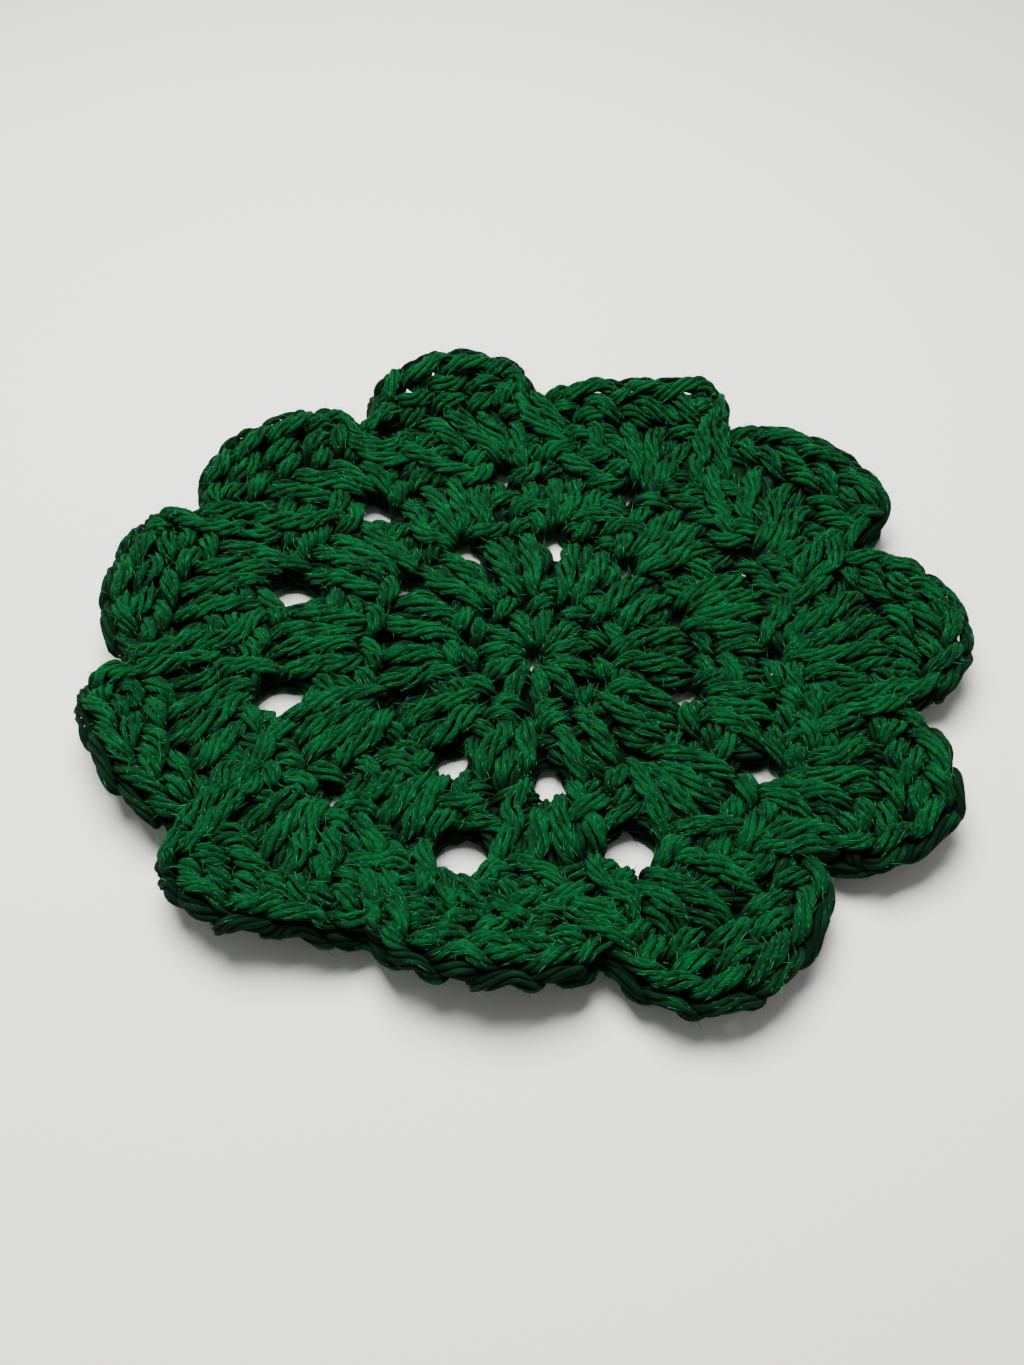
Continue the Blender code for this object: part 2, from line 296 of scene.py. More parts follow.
# The same over the gap between two fans, where the next round's stitches hide it.
CHAIN_LINK = table(
    Link,
    (0.0, -0.8, 0.5, -0.5, 0.65),
    (0.0, 0.6, 0.2, 0.4, 0.8),
    (0.5, 0.0, -1.8, -0.4, 0.85),
    (1.0, -0.4, 0.0, 0.2, 0.8),
    (1.0, 0.6, 0.6, -1.2, 0.65),
    (1.0, -0.4, 1.2, -1.5, 0.75),
    (0.5, 0.0, -0.6, -1.7, 0.85),
    (0.0, 0.4, 1.2, -1.5, 0.8),
    (0.0, -0.6, 0.8, -1.6, 0.7),
)
RIM_LINK = table(
    Link,
    (0.0, -0.9, 0.5, -0.4, 0.6),
    (0.0, 0.2, 1.0, 1.5, 0.8),
    (0.5, 0.0, 1.0, 2.4, 0.92),
    (1.0, -0.2, 0.8, 2.1, 0.85),
    (1.0, 0.9, 0.7, 0.6, 0.6),
    (1.0, 1.7, 1.2, -1.1, 0.55),
    (1.0, 1.4, 2.1, -0.3, 0.6),
    (1.0, 0.3, 2.7, 0.5, 0.75),
    (0.5, 0.0, 2.9, 0.7, 0.82),
    (0.0, -0.3, 2.7, 0.5, 0.75),
    (0.0, -1.4, 2.1, -0.3, 0.6),
    (0.0, -1.1, 1.0, -1.7, 0.55),
)
VALLEY_DEPTH = 2.0  # how much lower the cords lie between two petals
VALLEY_WIDTH = 2.4
VALLEY_START = 37.0  # from the centre ring to where they begin to lie lower
VALLEY_RAMP = 3.0  # from there to its full depth
ROOT_WIDTH = 0.45  # how wide a stitch is at its root, next to the table above
BELLY_AT = 0.45  # where between its root and its top a stitch is led through its belly
ROOT_PAST = 1.1  # from a gap's side to the roots of the fan worked into it
EDGE_PAST = 1.6  # and to the edge of the round below, at the gap
KNEE = 0.55  # share of a stitch where its legs end and its head begins, in the tables above
LEAST_SWELL = 0.55  # the thinnest that a stitch's upper strands get

# Root, belly and top of a stitch of the first round, as degrees past its middle and a radius.
Place = namedtuple("Place", "turn radius")
RING_STITCH = (Place(turn=-5, radius=2.0), Place(turn=-1, radius=6.9), Place(turn=3, radius=12.6))
RING_WIDTH = 0.85
RING_HEAD = 3.6
RING_FULLNESS = 0.9
# A fan: where in its sector its stitches' bellies and tops lie, how far its edge bulges out, how far
# their roots turn about the gap, and how tall their heads are.
Fan = namedtuple("Fan", "bellies tops bulge turned head")
ROUND_TWO_FAN = Fan(bellies=(0.27, 0.73), tops=(0.26, 0.74), bulge=5.2, turned=110, head=5.4)
ROUND_THREE_FAN = Fan(
    bellies=(0.2, 0.4, 0.6, 0.8), tops=(0.17, 0.39, 0.61, 0.83), bulge=3.4, turned=130, head=5.2
)
PETAL_POSTS = 5
PETAL_BELLIES = (0.04, 0.96)  # the shares between which a petal's stitches have their bellies
PETAL_TOPS = (0.03, 0.97)  # and their tops
PETAL_TURNED = 160
PETAL_HEAD = 6.2
JOINING_PAST = 1.6  # from the edge of the round below to the root of a joining stitch
TOP_INWARD = 3.7  # from the rim to the tops of a petal's stitches
NOTCH_INWARD = 3.4  # and to the top of the stitch that joins two petals

# A stitch: where its root, its belly and its top are in plan, how wide it is at its top and how tall
# its head, the steps of its yarn there and on to the next stitch, and the piece that it is part of.
Stitch = namedtuple("Stitch", "root belly top wide head steps link piece")
# The yarn as points, with how full it is, the number of the strand and the name of the piece.
Yarn = namedtuple("Yarn", "points swell strand piece")

# The cotton's dye, light and dark in streaks; the painted shade that darkens it from the crests of the plies
# down to where no light comes; the painted shade on the front of the sheet; single fibres, paler partly from
# their dye and partly as a painted highlight; and the tint of the sheen.
DYE_LIGHT = "#064920"
DYE_DARK = "#01200d"
PAINTED_CREVICE_SHADE = "#000a04"
PAINTED_SHEET_SHADE = "#000f05"
FIBRE_DYE_AND_HIGHLIGHT = "#227a44"
SHEEN_TINT = "#6cc48c"
FIBRE_PITCH = 3.4  # along a ply, one turn of the fibres round it
STREAK_STRETCH = 0.6  # of the pattern, along a ply: streaks are four times as long as wide
STREAK_SCALE = 2.1  # streaks to a ply's radius, each 0.2 mm wide, as fine as shows
BUMP_SCALE = 2.3  # ridges, a little finer
PATCH_SCALE = 420.0  # to the metre: the dye is uneven over 2.4 mm
STRANDS_AROUND = 320  # a ply's width apart where the petals' backs show the sheet
STRAND_LENGTH = 5.0

# The floor, the light and the camera.
FLOOR_COLOUR = "#dbdad6"
FLOOR_SIDE = 6.0  # metres
STUDIO_LIGHT = 0.36
WINDOW_SIZE = 0.2  # metres
WINDOW_POWER = 3.8
WINDOW_AT = (-0.04, 0.07, 0.3)  # metres
PITCH = 52.5  # degrees that the camera looks down
ROLL = 1.5  # degrees
FOCAL_PIXELS = 1300
FRAME_HEIGHT = 1365
SENSOR = 36.0  # millimetres along the frame's longer side, its height
EYE = (-2.04, -107.55, 135.19)  # millimetres


def mix(first, last, share):
    """A share of the way from one value to another."""
    return first + (last - first) * share


def at(angle, radius):
    """The point in plan at this angle and radius."""
    turn = math.radians(angle)
    return np.array([radius * math.cos(turn), radius * math.sin(turn)])


def outline_and_lift(angle):
    """How far the rim is from the centre ring at this angle, and how high it curls."""
    start = PETALS[0].notch
    turned = (angle - start) % 360
    for petal, following in zip(PETALS, PETALS[1:] + PETALS[:1]):
        first = (petal.notch - start) % 360
        width = (following.notch - petal.notch) % 360
        if first <= turned <= first + width:
            break
    share = (turned - first) / width
    radii = (petal.notch_radius, *petal.rim, following.notch_radius)
    reach = np.interp(share, RIM_SHARES, radii)
    notch_lift = mix(petal.notch_lift, following.notch_lift, share)
    return reach, notch_lift + (petal.lift - notch_lift) * math.sin(math.pi * share) ** LIFT_ROUNDNESS


DEGREES = np.arange(0, 360.5, 0.5)
RIM = np.array([outline_and_lift(angle) for angle in DEGREES])


def rim_at(plan):
    """How far points in plan are from the centre ring, and how far and how high the rim is there."""
    angle = np.degrees(np.arctan2(plan[:, 1], plan[:, 0])) % 360
    far = np.hypot(plan[:, 0], plan[:, 1])
    return far, np.interp(angle, DEGREES, RIM[:, 0]), np.interp(angle, DEGREES, RIM[:, 1])


def middle_layer(plan):
    """Height of the cloth's middle layer at each point in plan."""
    far, reach, lift = rim_at(plan)
    out = np.clip((far - FLAT_RADIUS) / (reach - FLAT_RADIUS), 0.0, CURL_END)
    return UNDERSIDE + lift * out ** CURL


def bent(points):
    """Points of the flat cloth bent up to the petals: their rise is kept, square to the cloth."""
    nudge = 0.05
    plan = points[:, :2]
    height = middle_layer(plan)
    slope_x = (middle_layer(plan + [nudge, 0]) - middle_layer(plan - [nudge, 0])) / (2 * nudge)
    slope_y = (middle_layer(plan + [0, nudge]) - middle_layer(plan - [0, nudge])) / (2 * nudge)
    normal = unit(np.stack([-slope_x, -slope_y, np.ones(len(plan))], axis=1))
    return np.column_stack([plan + RING_AT, height]) + normal * points[:, 2:]


def lengths(line):
    """How far along the line each of its points is."""
    return np.concatenate([[0], np.cumsum(np.linalg.norm(np.diff(line, axis=0), axis=1))])


def unit(vectors):
    """The vectors, each at a length of 1."""
    return vectors / np.maximum(np.linalg.norm(vectors, axis=1), 1e-9)[:, None]


def directions(line):
    """Which way the line runs at each of its points."""
    return unit(np.gradient(line, axis=0))


def square_to(ahead, vectors):
    """The vectors less what of each lies along the direction ahead."""
    return vectors - (vectors * ahead).sum(axis=1)[:, None] * ahead


def along_line(stations, length, line):
    """The line's values at these lengths along it."""
    return np.stack([np.interp(stations, length, column) for column in line.T], axis=1)


def evenly(control, spacing):
    """(points, number of the control point that each is at) of a smooth line through them."""
    before = np.vstack([2 * control[0] - control[1], control, 2 * control[-1] - control[-2]])
    p0, p1, p2, p3 = before[:-3], before[1:-2], before[2:-1], before[3:]
    parts = 10
    t = np.arange(parts)[:, None, None] / parts
    curve = 0.5 * (
        2 * p1 + (p2 - p0) * t + (2 * p0 - 5 * p1 + 4 * p2 - p3) * t**2
        + (3 * p1 - p0 - 3 * p2 + p3) * t**3
    )
    curve = np.vstack([curve.transpose(1, 0, 2).reshape(-1, 3), control[-1:]])
    length = lengths(curve)
    stations = np.linspace(0, length[-1], int(length[-1] / spacing) + 1)
    number = np.arange(len(curve)) / parts
    return along_line(stations, length, curve), np.interp(stations, length, number)


def sector(first, last, share, radius):
    """The point in plan at this radius, a share of the way round from one angle to another."""
    return at(first + (last - first) % 360 * share, radius)


def outer_side(gap):
    """How far from the centre ring a gap ends."""
    return gap.radius + gap.along / 2


def double(full, legs):
    """The steps of one stitch, with these legs, and how full its upper strands lie."""
    across, head = (
        tuple(step._replace(swell=max(step.swell * full, LEAST_SWELL)) for step in steps)
        for steps in (ACROSS, HEAD)
    )
    return across + legs + head


def fan(gap, bellies, tops, turned, head, links, piece):
    """The stitches worked into one gap, their roots round its outer side."""
    steps = double(1.0, LEG + SECOND_LEG)
    made = []
    for number, (belly, top, link) in enumerate(zip(bellies, tops, links)):
        turn = math.radians((number / (len(tops) - 1) - 0.5) * turned)
        out = (gap.along / 2 + ROOT_PAST) * math.cos(turn)
        aside = (gap.across / 2 + ROOT_PAST) * math.sin(turn)
        root = at(gap.angle, gap.radius + out) + aside * at(gap.angle + 90, 1.0)
        radius = mix(np.linalg.norm(root), np.linalg.norm(top), BELLY_AT)
        belly = belly * radius / np.linalg.norm(belly)
        made.append(Stitch(root, belly, top, 1.0, head, steps, link, piece))
    return made


def round_one():
    """Eleven stitches out of the centre ring."""
    steps = double(RING_FULLNESS, RING_LEG)
    made = []
    for gap in RING_GAPS:
        middle = gap.angle - STEP / 2
        root, belly, top = (at(middle + place.turn, place.radius) for place in RING_STITCH)
        made.append(Stitch(root, belly, top, RING_WIDTH, RING_HEAD, steps, ROUND_LINK, "round_one"))
    return made


def inner_round(gaps, edge_gaps, shape, piece):
    """A fan of stitches in each gap, up to an edge that bulges out between the next round's gaps."""
    made = []
    for gap, first, last in zip(gaps, edge_gaps, edge_gaps[1:] + edge_gaps[:1]):
        bellies = [sector(first.angle, last.angle, share, 1.0) for share in shape.bellies]
        tops = []
        for share in shape.tops:
            edge = mix(outer_side(first), outer_side(last), share) + EDGE_PAST
            edge += shape.bulge * math.sin(math.pi * share)
            tops.append(sector(first.angle, last.angle, share, edge))
        links = [ROUND_LINK] * (len(tops) - 1) + [CHAIN_LINK]
        made += fan(gap, bellies, tops, shape.turned, shape.head, links, piece)
    return made


def round_two():
    """Two stitches between every two of the first round."""
    return inner_round(RING_GAPS, FAN_GAPS, ROUND_TWO_FAN, "round_two")


def round_three():
    """A fan of four stitches about each small gap."""
    return inner_round(FAN_GAPS, PETAL_GAPS[-1:] + PETAL_GAPS[:-1], ROUND_THREE_FAN, "round_three")


def rim_points(petal, following, inward, shares):
    """Points along a line inside the petal's rim, from notch to notch."""
    width = (following.notch - petal.notch) % 360
    angles = petal.notch + width * np.linspace(0.0, 1.0, RIM_PARTS)
    line = np.array([at(angle, outline_and_lift(angle)[0]) for angle in angles])
    along = directions(line)
    line += inward * np.stack([-along[:, 1], along[:, 0]], axis=1)
    length = lengths(line)
    return along_line(np.array(shares) * length[-1], length, line)


def petal_round():
    """A joining stitch in each notch, and a fan of stitches for each petal."""
    made = []
    shares = [(post + 0.5) / PETAL_POSTS for post in range(PETAL_POSTS)]
    top_shares = [mix(*PETAL_TOPS, share) for share in shares]
    for number, petal in enumerate(PETALS):
        piece = f"petal_{number + 1:02d}"
        before, gap = PETAL_GAPS[number - 1], PETAL_GAPS[number]
        following = PETALS[(number + 1) % REPEATS]
        edge = mix(outer_side(before), outer_side(gap), 0.5) + EDGE_PAST
        root = sector(before.angle, gap.angle, 0.5, edge + JOINING_PAST)
        top = at(petal.notch, petal.notch_radius - NOTCH_INWARD)
        made.append(Stitch(root, mix(root, top, BELLY_AT), top, 1.0, 0.0, JOINING, RIM_LINK, piece))
        tops = rim_points(petal, following, TOP_INWARD, top_shares)
        bellies = [sector(petal.notch, following.notch, mix(*PETAL_BELLIES, share), 1.0) for share in shares]
        made += fan(gap, bellies, tops, PETAL_TURNED, PETAL_HEAD, [RIM_LINK] * PETAL_POSTS, piece)
    return made


def on_axis(stitch, share):
    """(point, direction) at a share of the way along the curve through root, belly and top."""
    belly = share * (1 - share) / (BELLY_AT * (1 - BELLY_AT))
    top = share * (share - BELLY_AT) / (1 - BELLY_AT)
    point = (1 - belly - top) * stitch.root + belly * stitch.belly + top * stitch.top
    belly = (1 - 2 * share) / (BELLY_AT * (1 - BELLY_AT))
    top = (2 * share - BELLY_AT) / (1 - BELLY_AT)
    direction = -(belly + top) * stitch.root + belly * stitch.belly + top * stitch.top
    return point, direction / np.linalg.norm(direction)


def stitch_rows(stitch, following):
    """Rows of x, y, rise and swell through one stitch, and its link to the stitch that follows."""
    rows = []
    height = np.linalg.norm(stitch.belly - stitch.root) + np.linalg.norm(stitch.top - stitch.belly)
    for step in stitch.steps:
        share = step.share
        if stitch.head:
            head = stitch.head / height
            share = share / KNEE * (1 - head) if share < KNEE else 1 - (1 - share) / (1 - KNEE) * head
        share += step.past / height
        point, out = on_axis(stitch, share)
        along = np.array([-out[1], out[0]])
        point = point + along * step.side * mix(ROOT_WIDTH, stitch.wide, max(share, 0.0))
        rows.append([point[0], point[1], step.rise, step.swell])
    way = following.top - stitch.top
    gap = np.linalg.norm(way)
    along = way / gap
    out = np.array([along[1], -along[0]])
    for link in stitch.link:
        point = stitch.top + along * (link.share * gap + link.along) + out * link.out
        rows.append([point[0], point[1], link.rise, link.swell])
    return rows


def valley(points):
    """How much lower the yarn lies at these points, along the lines between the petals."""
    down = np.zeros(len(points))
    for petal in PETALS:
        out = points[:, :2] @ at(petal.notch, 1.0)
        aside = points[:, :2] @ at(petal.notch + 90, 1.0)
        near = np.exp(-((aside / VALLEY_WIDTH) ** 2)) * np.clip((out - VALLEY_START) / VALLEY_RAMP, 0, 1)
        down = np.maximum(down, VALLEY_DEPTH * near)
    return down


def yarn_of(rounds, draw):
    """The yarn of every round, one strand each, laid through its stitches."""
    made = []
    for strand, stitches in enumerate(rounds):
        rows, names = [], []
        for stitch, following in zip(stitches, stitches[1:] + stitches[:1]):
            more = stitch_rows(stitch, following)
            own = len(stitch.steps) if stitch.steps is JOINING else 0
            lower = valley(np.array(more))
            for row, down in zip(more[own:], lower[own:]):
                row[2] -= down * (row[2] > 0)
            rows += more
            names += [stitch.piece] * len(more)
        rows = np.array(rows)
        control = rows[:, :3] + draw.normal(0.0, UNEVEN, (len(rows), 3))
        points, number = evenly(control, YARN_SPACING)
        swell = np.interp(number, np.arange(len(rows)), rows[:, 3])
        piece = np.array(names)[number.astype(int)]
        made.append(Yarn(points, swell, np.full(len(points), strand), piece))
    return Yarn(*(np.concatenate(part) for part in zip(*made)))


# A cell itself and half of the cells round it: the other half meet it from their own side.
CELLS_AHEAD = [step for step in itertools.product((-1, 0, 1), repeat=3) if step >= (0, 0, 0)]


def pairs_within(points, reach):
    """Numbers of every two points nearer than reach, by sorting the points into cells."""
    cell = np.floor(points / reach).astype(np.int64)
    cell -= cell.min(axis=0) - 1
    size = cell.max(axis=0) + 2
    key = (cell[:, 0] * size[1] + cell[:, 1]) * size[2] + cell[:, 2]
    order = np.argsort(key, kind="stable")
    key = key[order]
    firsts, seconds = [], []
    for x, y, z in CELLS_AHEAD:
        offset = (x * size[1] + y) * size[2] + z
        start = np.searchsorted(key, key + offset, side="left")
        if offset == 0:
            start = np.arange(1, len(key) + 1)
        end = np.searchsorted(key, key + offset, side="right")
        count = np.maximum(end - start, 0)
        first = np.repeat(np.arange(len(key)), count)
        within = np.arange(count.sum()) - np.repeat(np.cumsum(count) - count, count)
        firsts.append(order[first])
        seconds.append(order[np.repeat(start, count) + within])
    first, second = np.concatenate(firsts), np.concatenate(seconds)
    near = ((points[first] - points[second]) ** 2).sum(axis=1) < reach**2
    return first[near], second[near]


def axes_of(gap):
    """(middle, direction outwards, direction across) of a gap in plan."""
    return at(gap.angle, gap.radius), at(gap.angle, 1.0), at(gap.angle + 90, 1.0)


def clear_gaps(points, radius):
    """Moves points out of the gaps, so that they stay as open as they are in the cloth."""
    for gap in OPENINGS + RING_GAPS:
        centre, out, along = axes_of(gap)
        near = np.flatnonzero(((points[:, :2] - centre) ** 2).sum(axis=1) < gap.across**2 + NEAR_GAP)
        apart = points[near, :2] - centre
        half_out, half_along = gap.along / 2 + radius[near], gap.across / 2 + radius[near]
        q = np.stack([apart @ out / half_out, apart @ along / half_along], axis=1)
        far = np.linalg.norm(q, axis=1)
        inside = far < 1
        q = q[inside] / np.maximum(far[inside], LEAST_OUT)[:, None]
        points[near[inside], :2] = (
            centre + q[:, :1] * half_out[inside, None] * out + q[:, 1:] * half_along[inside, None] * along
        )


def keep_in(points, radius):
    """Moves points in from beyond the rim."""
    far, reach, _ = rim_at(points)
    points[:, :2] *= np.minimum(1.0, (reach - radius) / np.maximum(far, 1e-6))[:, None]


def spread_along(moves, same):
    """Shares each point's move with its neighbours on the same strand."""
    weight = np.ones(len(moves))
    total = moves.copy()
    total[1:][same] += 0.5 * moves[:-1][same]
    weight[1:][same] += 0.5
    total[:-1][same] += 0.5 * moves[1:][same]
    weight[:-1][same] += 0.5
    return total / weight[:, None]


def pushes(points, first, second, contact):
    """How far each point is pushed by the strands that lie in it."""
    between_them = points[second] - points[first]
    distance = np.linalg.norm(between_them, axis=1)
    touching = distance < contact
    distance = np.maximum(distance[touching], 1e-3)
    push = between_them[touching] * (0.5 * (contact[touching] - distance) / distance)[:, None]
    moves = np.zeros_like(points)
    count = np.zeros(len(points))
    for index, sign in ((first[touching], -1.0), (second[touching], 1.0)):
        for axis in range(3):
            moves[:, axis] += np.bincount(index, sign * push[:, axis], len(points))
        count += np.bincount(index, minlength=len(points))
    return moves / np.maximum(count * CROWDING, 1.0)[:, None]


def ease(points, home, same, rest):
    """Draws points home and into line, and each stretch of the yarn back to its length."""
    points += HOLD * (home - points)
    inner = same[1:] & same[:-1]
    bend = np.zeros_like(points)
    bend[1:-1][inner] = (0.5 * (points[2:] + points[:-2]) - points[1:-1])[inner]
    points += SMOOTH * bend
    stretch = np.diff(points, axis=0)
    length = np.linalg.norm(stretch, axis=1)
    fix = stretch * (SHORTEN * (length - rest) / np.maximum(length, 1e-6))[:, None]
    fix[~same] = 0
    points[:-1] += fix
    points[1:] -= fix


def settle(yarn, width, height, skip, turns):
    """Draws the yarn tight: strands that lie in each other are pushed apart until they touch."""
    tall = np.array([1.0, 1.0, width / height])
    home, strand = yarn.points * tall, yarn.strand
    points = home.copy()
    girths = width * yarn.swell
    lowest, highest = girths / 2 - UNDERSIDE * tall[2], FACE * tall[2] - girths / 2
    number = np.arange(len(points))
    same = strand[1:] == strand[:-1]
    rest = np.linalg.norm(np.diff(points, axis=0), axis=1)
    for turn in range(turns):
        if turn % SEARCH_EVERY == 0:
            first, second = pairs_within(points, width * SEARCH_REACH)
            apart = (strand[first] != strand[second]) | (np.abs(number[first] - number[second]) > skip)
            first, second = first[apart], second[apart]
            contact = (girths[first] + girths[second]) / 2
        points += spread_along(pushes(points, first, second, contact), same)
        ease(points, home, same, rest)
        clear_gaps(points, girths / 2)
        keep_in(points, girths / 2)
        points[:, 2] = np.clip(points[:, 2], lowest, highest)
    return yarn._replace(points=points / tall)


def frames(line):
    """Two directions across the line at each point, carried along it without turning."""
    ahead = directions(line)
    side = np.zeros_like(ahead)
    current = np.cross(ahead[0], ANY_SIDE)
    for index, direction in enumerate(ahead):
        current = current - direction * (current @ direction)
        current = current / math.sqrt(current @ current)
        side[index] = current
    return side, np.cross(ahead, side)


def straying(length, reach, amount, draw):
    """A smooth random value along a ply, about 0."""
    knots = np.arange(0, length[-1] + 2 * reach, reach)
    return np.interp(length, knots, draw.normal(0.0, amount, len(knots)))


def pressed(across, line, swell):
    """The plies' places in the yarn, pressed flat where the yarn lies full and level."""
    ahead = directions(line)
    full = np.clip((swell - PRESSED_FROM) / PRESSED_WITHIN, 0, 1)
    level = np.hypot(ahead[:, 0], ahead[:, 1]) * full
    sideways, upwards = mix(UNPRESSED, SPREAD, level), mix(UNPRESSED, PRESSED, level)
    return square_to(ahead, across * np.stack([sideways, sideways, upwards], axis=1))


def plied(yarn, draw):
    """The yarn split into its plies, that turn about each other."""
    made = []
    for strand in range(yarn.strand[-1] + 1):
        mine = yarn.strand == strand
        line, swell, piece = yarn.points[mine], yarn.swell[mine], yarn.piece[mine]
        side, other = frames(line)
        length = lengths(line)
        for ply in range(PLIES):
            turn = 2 * math.pi * (ply / PLIES - length / TWIST_PITCH)
            out = PLY_RING * swell
            across = (out * np.cos(turn))[:, None] * side + (out * np.sin(turn))[:, None] * other
            points = line + pressed(across, line, swell)
            for axis in range(3):
                points[:, axis] += straying(length, WANDER_LENGTH, WANDER, draw)
            girth = np.sqrt(swell) * (1 + straying(length, SLUB_LENGTH, SLUB, draw))
            number = np.full(len(line), strand * PLIES + ply)
            made.append(Yarn(points, girth, number, piece))
    return Yarn(*(np.concatenate(part) for part in zip(*made)))


def widened(levels, reach, how):
    """The greatest or the mean level within this many cells of each."""
    for axis in (0, 1):
        levels = how([np.roll(levels, shift, axis) for shift in range(-reach, reach + 1)], axis=0)
    return levels


def inside_cloth(plan, inward, margin):
    """Whether points in plan are this far inside the rim and this far from every gap."""
    far, reach, _ = rim_at(plan)
    inside = far < reach - inward
    for gap in OPENINGS:
        centre, out, along = axes_of(gap)
        apart = plan - centre
        outwards = apart @ out / (gap.along / 2 + margin)
        aside = apart @ along / (gap.across / 2 + margin)
        inside &= outwards**2 + aside**2 > 1
    return inside


def near_side(plan):
    """Whether points in plan are so near the rim or a gap that they show from the side."""
    near = ~inside_cloth(plan, RIM_SIDE, GAP_SIDE)
    for turn in range(0, 360, 45):
        far, reach, _ = rim_at(plan + at(turn, RIM_SIDE))
        near |= far > reach
    return near


def showing(points):
    """Whether each point shows, how deep it lies among the strands, and on which side of the cloth."""
    cell = np.floor(points[:, :2] / SIGHT_CELL).astype(int)
    cell -= cell.min(axis=0) - SIGHT_MARGIN
    size = cell.max(axis=0) + SIGHT_MARGIN + 1
    here = (cell[:, 0], cell[:, 1])
    seen = np.zeros(len(points), bool)
    depth = np.full(len(points), np.inf)
    face = np.ones(len(points))
    for sign in (1, -1):
        top = np.full(size, -np.inf)
        np.maximum.at(top, here, sign * points[:, 2])
        cover = widened(widened(top, 1, np.max), 1, np.min)
        seen |= sign * points[:, 2] > cover[here] - BURIED
        crest = np.maximum(widened(cover, CREST_REACH, np.max), -UNDERSIDE)
        under = widened(crest, CREST_REACH, np.mean)[here] - sign * points[:, 2]
        face[under < depth] = sign
        depth = np.minimum(depth, under)
    seen |= near_side(points[:, :2])
    return seen, depth, face


def shown_runs(mine, seen):
    """Stretches of one ply's points that show, each a little longer than what shows."""
    kept = seen.copy()
    for shift in range(1, SHOWN_PAST + 1):
        kept[shift:] |= seen[:-shift]
        kept[:-shift] |= seen[shift:]
    found = mine[kept]
    if not len(found):
        return []
    return np.split(found, np.flatnonzero(np.diff(found) > 1) + 1)


def smoothed(line):
    """The line with its smallest bends taken out."""
    line = line.copy()
    for _ in range(2):
        line[1:-1] = 0.5 * line[1:-1] + 0.25 * (line[2:] + line[:-2])
    return line


def ring_stations(line):
    """Lengths along a ply where its tube needs its rings: more of them where it bends."""
    ahead = np.diff(line, axis=0)
    length = np.linalg.norm(ahead, axis=1)
    ahead = unit(ahead)
    turning = np.degrees(np.arccos(np.clip((ahead[1:] * ahead[:-1]).sum(axis=1), -1, 1)))
    bending = np.zeros(len(length))
    bending[1:] += turning / 2
    bending[:-1] += turning / 2
    need = np.concatenate([[0], np.cumsum(length / PLY_STEP + bending / PLY_TURN)])
    wanted = np.linspace(0, need[-1], max(3, int(need[-1]) + 2))
    return np.interp(wanted, need, lengths(line))


def mesh_of(name, points, corners, sides, uvs=None, depth=None):
    """A smooth mesh from arrays: millimetre points, and the faces' corners one after another.

    The corners of a ply's long faces come first and have a place on its UV map.
    """
    mesh = bpy.data.meshes.new(name)
    mesh.vertices.add(len(points))
    mesh.vertices.foreach_set("co", (points * MM).astype(np.float32).ravel())
    mesh.loops.add(len(corners))
    mesh.loops.foreach_set("vertex_index", corners.astype(np.int32))
    mesh.polygons.add(len(sides))
    mesh.polygons.foreach_set("loop_start", (np.cumsum(sides) - sides).astype(np.int32))
    mesh.polygons.foreach_set("loop_total", sides.astype(np.int32))
    if uvs is not None:
        flat = np.zeros((len(corners), 2), np.float32)
        flat[:len(uvs)] = uvs
        mesh.uv_layers.new(name="ply").data.foreach_set("uv", flat.ravel())
    if depth is not None:
        mesh.attributes.new("depth", "FLOAT", "POINT").data.foreach_set("value", depth.astype(np.float32))
    mesh.update()
    mesh.validate()
    mesh.shade_smooth()
    return mesh


def rings(side, other, sides):
    """The ways to the corners of a ring about each point, given two directions across it."""
    turn = 2 * math.pi * np.arange(sides) / sides
    return np.cos(turn)[None, :, None] * side[:, None] + np.sin(turn)[None, :, None] * other[:, None]


def ply_mesh(name, runs):
    """One mesh of many plies, with the length along each and the share of the way round it as UV.

    Each point also holds how deep it lies among the strands.
    """
    corner = np.arange(PLY_SIDES)
    after = (corner + 1) % PLY_SIDES
    points, quads, uvs, ends, depths = [], [], [], [], []
    first = 0
    for line, girth, depth, face, start in runs:
        stations = ring_stations(line)
        length = lengths(line)
        radius = PLY_RADIUS * np.interp(stations, length, girth)[:, None, None]
        line = along_line(stations, length, line)
        out = radius * rings(*frames(line), PLY_SIDES)
        points.append((line[:, None] + out).reshape(-1, 3))
        level, upward = (np.interp(stations, length, values)[:, None] for values in (depth, face))
        depths.append((level - upward * out[:, :, 2]).ravel())
        ring = first + np.arange(len(line) - 1)[:, None] * PLY_SIDES
        ahead = ring + PLY_SIDES
        quads.append(np.stack([ring + corner, ring + after, ahead + after, ahead + corner], axis=-1))
        share = np.broadcast_to(corner / PLY_SIDES, (len(line) - 1, PLY_SIDES))
        more = share + 1 / PLY_SIDES
        here = np.broadcast_to(stations[:-1, None] + start, share.shape)
        there = np.broadcast_to(stations[1:, None] + start, share.shape)
        uvs.append(np.stack([here, share, here, more, there, more, there, share], axis=-1).reshape(-1, 2))
        ends += [first + corner[::-1], first + (len(line) - 1) * PLY_SIDES + corner]
        first += len(line) * PLY_SIDES
    quads = np.vstack([part.reshape(-1, 4) for part in quads])
    sides = np.concatenate([np.full(len(quads), 4), np.full(len(ends), PLY_SIDES)])
    corners = np.concatenate([quads.ravel()] + ends)
    return mesh_of(name, np.vstack(points), corners, sides, np.vstack(uvs), np.concatenate(depths))


